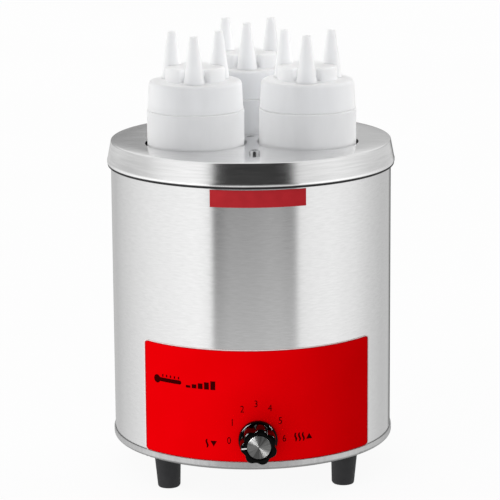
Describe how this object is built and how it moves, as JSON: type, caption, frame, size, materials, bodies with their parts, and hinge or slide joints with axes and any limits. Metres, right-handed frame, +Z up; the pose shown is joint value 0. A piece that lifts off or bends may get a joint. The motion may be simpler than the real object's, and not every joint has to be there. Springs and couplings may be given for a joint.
{
  "type": "hot topping warmer",
  "caption": "Round water-bath topping warmer: stainless drum on rubber feet with a thermostat knob, and a lift-off lid whose rack holds squeeze bottles with multi-nozzle caps.",
  "frame": {"origin": "point on the table under the casing's vertical axis, in the plane of the four soles", "axes": "+Z up along the casing's axis; -Y to the front, where the panel and knob are; +X to the right as seen from the front"},
  "size_m": [0.2126, 0.2313, 0.3285],
  "materials": {
    "casing_steel": "fine brushed stainless steel, grain round the casing",
    "lid_steel": "spun stainless steel, satin",
    "well_steel": "drawn stainless steel, dull",
    "fastener_steel": "plated steel, satin",
    "heater_sheath": "oxidised heater sheath, matt",
    "sensor_copper": "drawn copper tube, dull",
    "foot_rubber": "moulded rubber, matt",
    "knob_plastic": "moulded phenolic plastic, fine satin",
    "disc_aluminium": "spun aluminium, circular turning marks",
    "pointer_plastic": "white moulded plastic",
    "red_sheet": "printed plastic film, satin gloss",
    "milky_plastic": "translucent polyethylene, satin",
    "insulation_blanket": "ceramic fibre blanket",
    "cutout_housing": "moulded phenolic",
    "thermostat_housing": "moulded phenolic or ceramic, ivory",
    "wire_sleeve": "silicone sleeve"
  },
  "bodies": {
    "base": {"casing": "casing_steel", "base_pan": "casing_steel", "foot_front_left": "foot_rubber", "foot_front_right": "foot_rubber", "foot_rear_left": "foot_rubber", "foot_rear_right": "foot_rubber", "foot_screws": "fastener_steel", "water_well": "well_steel", "insulation": "insulation_blanket", "heating_ring": "heater_sheath", "clamp_plate": "well_steel", "tie_stud": "fastener_steel", "tie_nuts": "fastener_steel", "overheat_cutout": "cutout_housing", "thermostat": "thermostat_housing", "thermostat_nut": "fastener_steel", "sensor_bulb": "sensor_copper", "terminal_block": "thermostat_housing", "wiring": "wire_sleeve", "cord_bushing": "foot_rubber", "panel_sheet": "red_sheet", "strip": "red_sheet"},
    "knob": {"knob": "knob_plastic", "knob_disc": "disc_aluminium", "knob_pointer": "pointer_plastic", "thermostat_shaft": "fastener_steel"},
    "lid": {"lid": "lid_steel", "lid_screws": "fastener_steel", "rack_posts": "well_steel", "rack_plate": "well_steel", "rack_nuts": "fastener_steel"},
    "bottle_left": {"bottle_left": "milky_plastic"},
    "cap_left": {"cap_left": "milky_plastic"},
    "bottle_right": {"bottle_right": "milky_plastic"},
    "cap_right": {"cap_right": "milky_plastic"},
    "bottle_rear": {"bottle_rear": "milky_plastic"},
    "cap_rear": {"cap_rear": "milky_plastic"}
  },
  "joints": [
    {"name": "knob_turn", "type": "hinge", "parent": "base", "child": "knob", "pos_m": [0, -0.1, 0.046], "axis": [0, 1, 0], "range_deg": [0, 180]},
    {"name": "lid_lift", "type": "slide", "parent": "base", "child": "lid", "axis": [0, 0, 1], "range_m": [0, 0.2]},
    {"name": "bottle_left_lift", "type": "slide", "parent": "lid", "child": "bottle_left", "axis": [0, 0, 1], "range_m": [0, 0.18]},
    {"name": "cap_left_unscrew", "type": "hinge", "parent": "bottle_left", "child": "cap_left", "pos_m": [-0.04079, -0.02355, 0.284], "axis": [0, 0, 1], "range_deg": [0, 450]},
    {"name": "bottle_right_lift", "type": "slide", "parent": "lid", "child": "bottle_right", "axis": [0, 0, 1], "range_m": [0, 0.18]},
    {"name": "cap_right_unscrew", "type": "hinge", "parent": "bottle_right", "child": "cap_right", "pos_m": [0.04079, -0.02355, 0.284], "axis": [0, 0, 1], "range_deg": [0, 450]},
    {"name": "bottle_rear_lift", "type": "slide", "parent": "lid", "child": "bottle_rear", "axis": [0, 0, 1], "range_m": [0, 0.18]},
    {"name": "cap_rear_unscrew", "type": "hinge", "parent": "bottle_rear", "child": "cap_rear", "pos_m": [0, 0.0471, 0.284], "axis": [0, 0, 1], "range_deg": [0, 450]}
  ]
}
